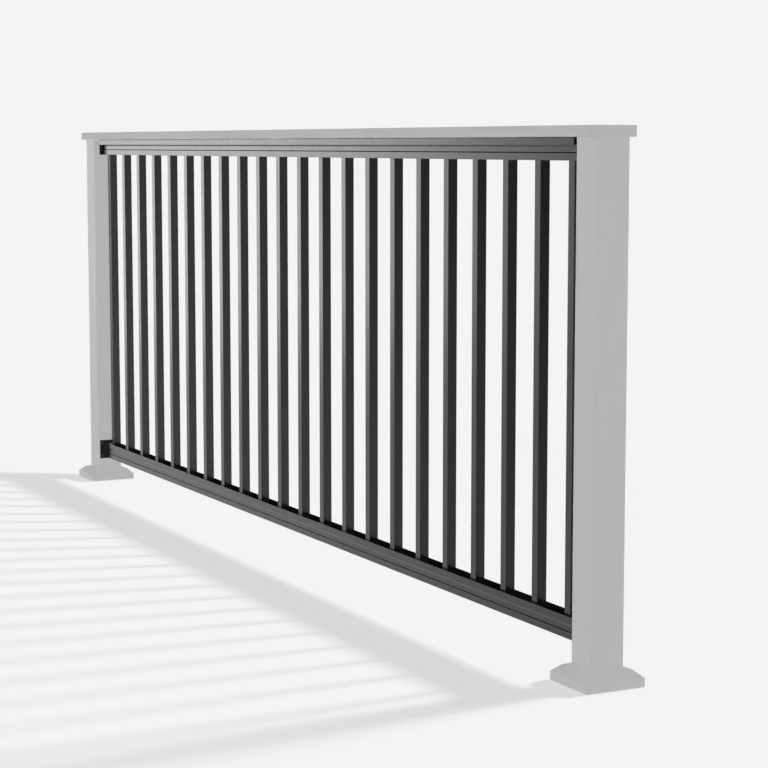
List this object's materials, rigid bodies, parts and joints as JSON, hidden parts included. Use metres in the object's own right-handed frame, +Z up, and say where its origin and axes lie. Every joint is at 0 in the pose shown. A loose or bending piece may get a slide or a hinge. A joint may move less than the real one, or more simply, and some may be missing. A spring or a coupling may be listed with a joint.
{
  "type": "deck railing section",
  "caption": "Straight deck railing section: square posts with bevelled base skirts, square balusters between two rails, and a flat board laid along the top.",
  "frame": {"origin": "centre of the left post's base plate, on its underside", "axes": "+X along the rails towards the right post, -Y towards the viewer's side, +Z up"},
  "size_m": [2.6179, 0.116, 0.9383],
  "materials": {
    "light_grey_coat": "matte light grey powder coat",
    "plate_coat": "matte grey coat over steel",
    "cap_board_grey": "light grey composite with a fine brushed grain",
    "black_coat": "satin black powder coat",
    "bracket_black": "matte black"
  },
  "bodies": {
    "root": {"left_post": "light_grey_coat", "left_post_skirt": "light_grey_coat", "left_base_plate": "plate_coat", "right_post": "light_grey_coat", "right_post_skirt": "light_grey_coat", "right_base_plate": "plate_coat", "cap_board": "cap_board_grey", "top_rail": "black_coat", "bottom_rail": "black_coat", "baluster_01": "black_coat", "baluster_02": "black_coat", "baluster_03": "black_coat", "baluster_04": "black_coat", "baluster_05": "black_coat", "baluster_06": "black_coat", "baluster_07": "black_coat", "baluster_08": "black_coat", "baluster_09": "black_coat", "baluster_10": "black_coat", "baluster_11": "black_coat", "baluster_12": "black_coat", "baluster_13": "black_coat", "baluster_14": "black_coat", "baluster_15": "black_coat", "baluster_16": "black_coat", "baluster_17": "black_coat", "baluster_18": "black_coat", "baluster_19": "black_coat", "baluster_20": "black_coat", "baluster_21": "black_coat", "baluster_22": "black_coat", "top_left_bracket": "bracket_black", "top_right_bracket": "bracket_black", "bottom_left_bracket": "bracket_black", "bottom_right_bracket": "bracket_black"}
  },
  "joints": []
}
